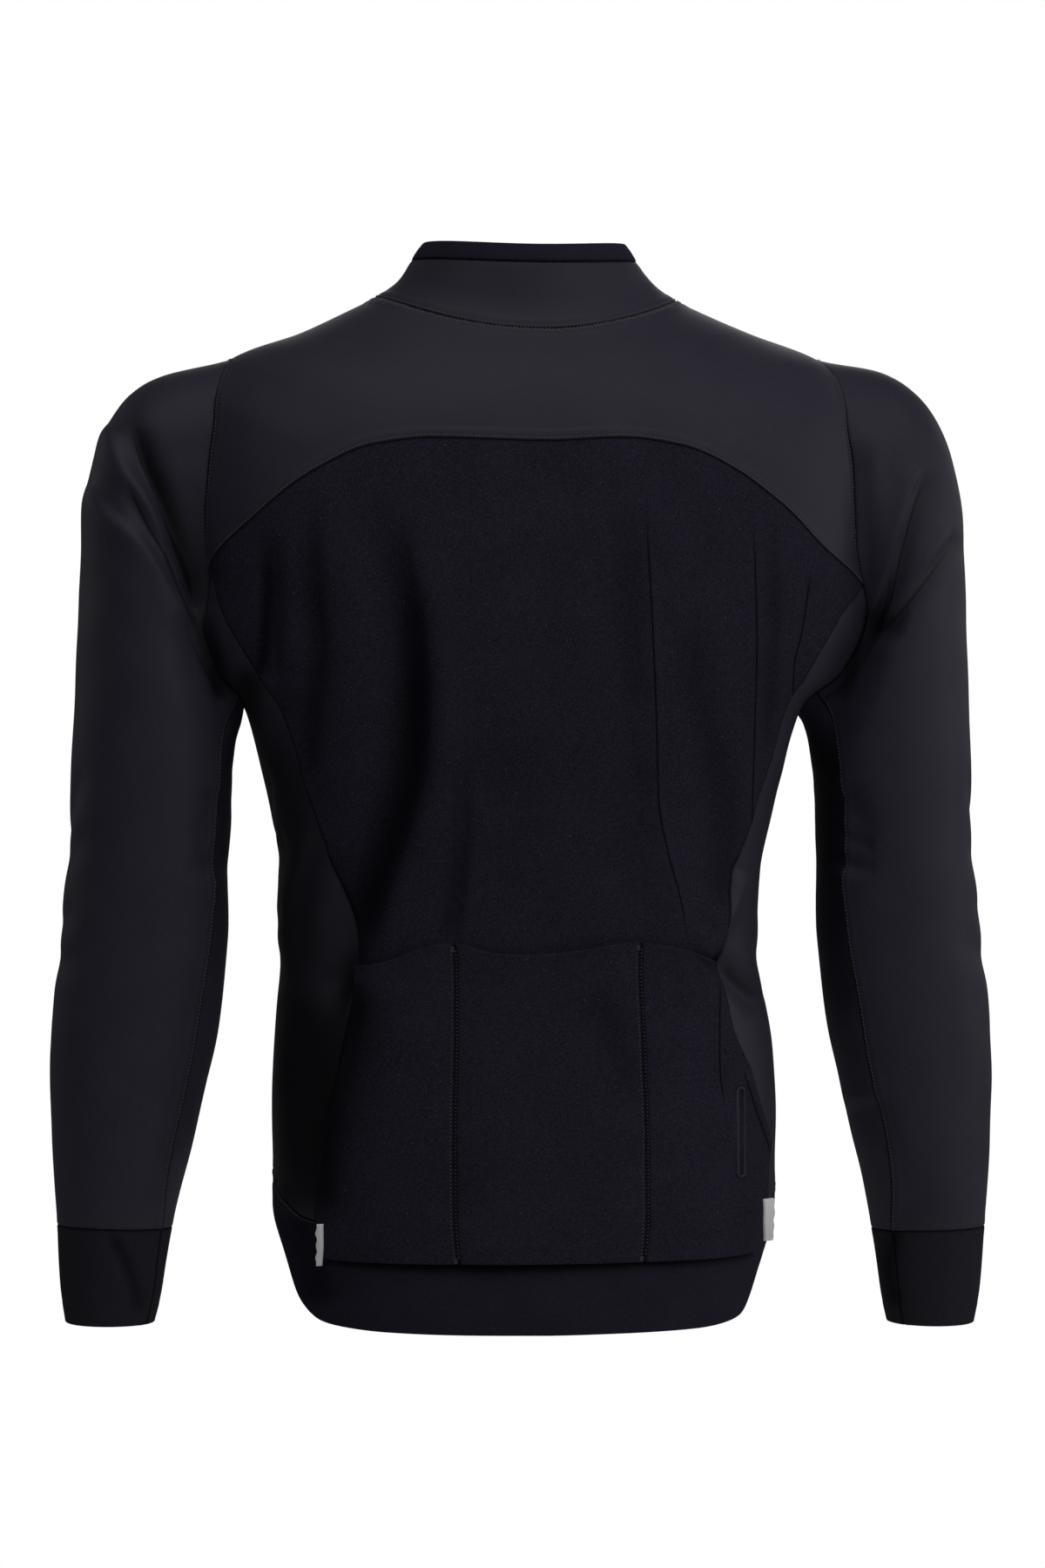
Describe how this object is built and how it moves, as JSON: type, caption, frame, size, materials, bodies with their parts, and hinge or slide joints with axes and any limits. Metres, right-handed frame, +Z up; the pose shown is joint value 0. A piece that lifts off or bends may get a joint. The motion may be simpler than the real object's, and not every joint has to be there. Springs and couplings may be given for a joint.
{
  "type": "winter cycling jacket",
  "caption": "Close-fitting winter cycling jacket with a stand collar, long sleeves, a dropped tail, back pockets and a full front zip, in its worn shape and hollow.",
  "frame": {"origin": "on the wearer's centre line at the level of the back neck seam, where the wearer holds the jacket up", "axes": "+Z up the body, -Y out of the back, +X towards the wearer's right sleeve"},
  "size_m": [0.6314, 0.242, 0.7225],
  "materials": {
    "smooth shell": "smooth satin softshell, very dark navy",
    "brushed knit": "matte brushed knit, nearly black",
    "rib cuff": "matte elastic knit, nearly black",
    "reflective": "light grey reflective tape",
    "zip": "satin black",
    "metal": "satin black lacquer"
  },
  "bodies": {
    "jacket": {"yoke": "smooth shell", "back_panel": "brushed knit", "side_panel_left": "smooth shell", "side_panel_right": "smooth shell", "front_left": "smooth shell", "front_right": "smooth shell", "hem_band": "brushed knit", "pocket_panel": "brushed knit", "collar": "smooth shell", "collar_binding": "brushed knit", "sleeve_upper_left": "smooth shell", "sleeve_upper_right": "smooth shell", "sleeve_under_left": "smooth shell", "sleeve_under_right": "smooth shell", "cuff_left": "rib cuff", "cuff_right": "rib cuff", "reflective_tab_left": "reflective", "reflective_tab_right": "reflective", "pocket_zip_welt": "smooth shell", "pocket_zip_coil": "zip", "zip_tape_left": "brushed knit", "zip_tape_right": "brushed knit", "zip_coil": "zip", "slider": "metal"},
    "pull": {"pull_tab": "metal"}
  },
  "joints": [
    {"name": "pull_tab_swing", "type": "hinge", "parent": "jacket", "child": "pull", "pos_m": [0, 0.07259, 0.02461], "axis": [1, 0, 0], "range_deg": [0, 170]}
  ]
}
